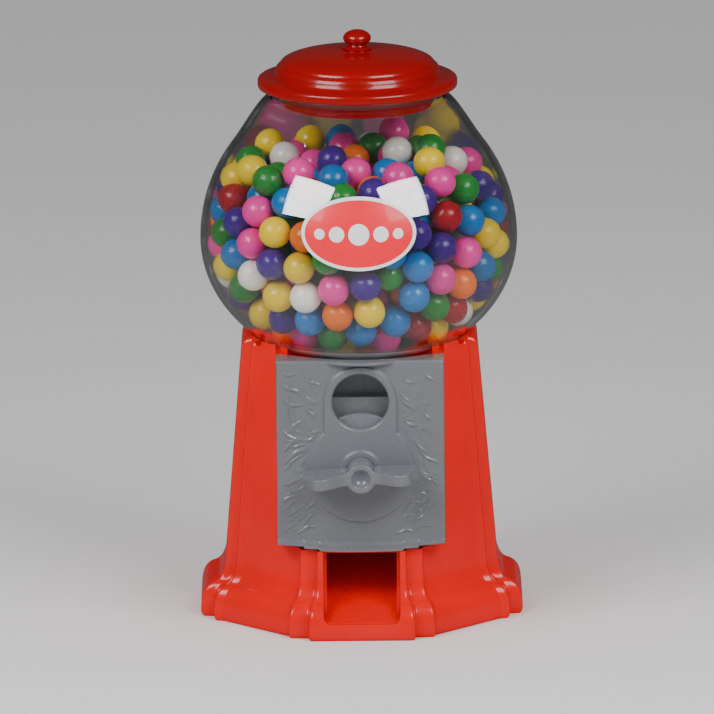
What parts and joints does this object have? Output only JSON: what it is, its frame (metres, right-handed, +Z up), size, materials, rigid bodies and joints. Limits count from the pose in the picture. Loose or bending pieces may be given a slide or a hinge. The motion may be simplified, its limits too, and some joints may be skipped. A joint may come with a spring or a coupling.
{
  "type": "gumball machine",
  "caption": "Tabletop gumball machine: a fluted tapered base with a crank, coin window and ball outlet, a clear globe of gumballs and a lift-off lid.",
  "frame": {"origin": "middle of the base's footprint, on the surface it stands on", "axes": "+Z up, -Y towards the crank and the outlet, +X to the right of someone facing the crank"},
  "size_m": [0.162, 0.172, 0.295],
  "materials": {
    "red_plastic": "gloss moulded plastic",
    "dark_red_plastic": "gloss moulded plastic",
    "grey_plastic": "satin silver-grey moulded plastic",
    "cream_plastic": "natural moulded plastic",
    "black_plastic": "matt moulded plastic",
    "clear_plastic": "clear moulded plastic",
    "steel": "zinc-plated steel",
    "label": "printed sticker with a plain dot pattern",
    "gumball": "sugar-glazed, in mixed colours"
  },
  "bodies": {
    "base": {"base_shell": "red_plastic", "bottom_cover": "black_plastic", "bottom_screws": "steel", "front_plate": "grey_plastic", "plate_screws": "steel", "coin_guide": "grey_plastic", "guide_screws": "steel", "shaft_bushing": "cream_plastic", "bearing_bracket": "grey_plastic", "bracket_screws": "steel", "wheel_axle": "steel", "axle_washer": "steel", "axle_screw": "steel", "hopper_floor": "cream_plastic", "drop_tube": "cream_plastic", "hopper_ring": "cream_plastic", "hopper_screws": "steel", "ball_guard": "cream_plastic", "gumball_chute": "red_plastic", "globe": "clear_plastic", "globe_label": "label", "gumballs": "gumball"},
    "crank": {"handle": "grey_plastic", "handle_pin": "steel", "handle_shaft": "steel", "coin_wheel": "grey_plastic", "drive_gear": "cream_plastic", "shaft_washer": "steel", "shaft_screw": "steel"},
    "dispenser": {"gumball_wheel": "cream_plastic", "drive_pins": "cream_plastic", "agitator_cap": "cream_plastic"},
    "lid": {"lid": "dark_red_plastic", "lid_knob": "dark_red_plastic", "lid_screw": "steel"},
    "coin_door": {"coin_door": "black_plastic"}
  },
  "joints": [
    {"name": "handle_turn", "type": "hinge", "parent": "base", "child": "crank", "pos_m": [0, 0, 0.0833], "axis": [0, 1, 0], "continuous": true},
    {"name": "wheel_turn", "type": "hinge", "parent": "base", "child": "dispenser", "pos_m": [0, 0, 0.12], "axis": [0, 0, 1], "continuous": true},
    {"name": "lid_lift", "type": "slide", "parent": "base", "child": "lid", "axis": [0, 0, 1], "range_m": [0, 0.06]},
    {"name": "coin_door_turn", "type": "hinge", "parent": "base", "child": "coin_door", "pos_m": [0, 0.03, 0.003], "axis": [0, 0, 1], "range_deg": [0, 60]}
  ],
  "couplings": [
    {"joint": "wheel_turn", "follows": "handle_turn", "ratio": 0.8}
  ]
}
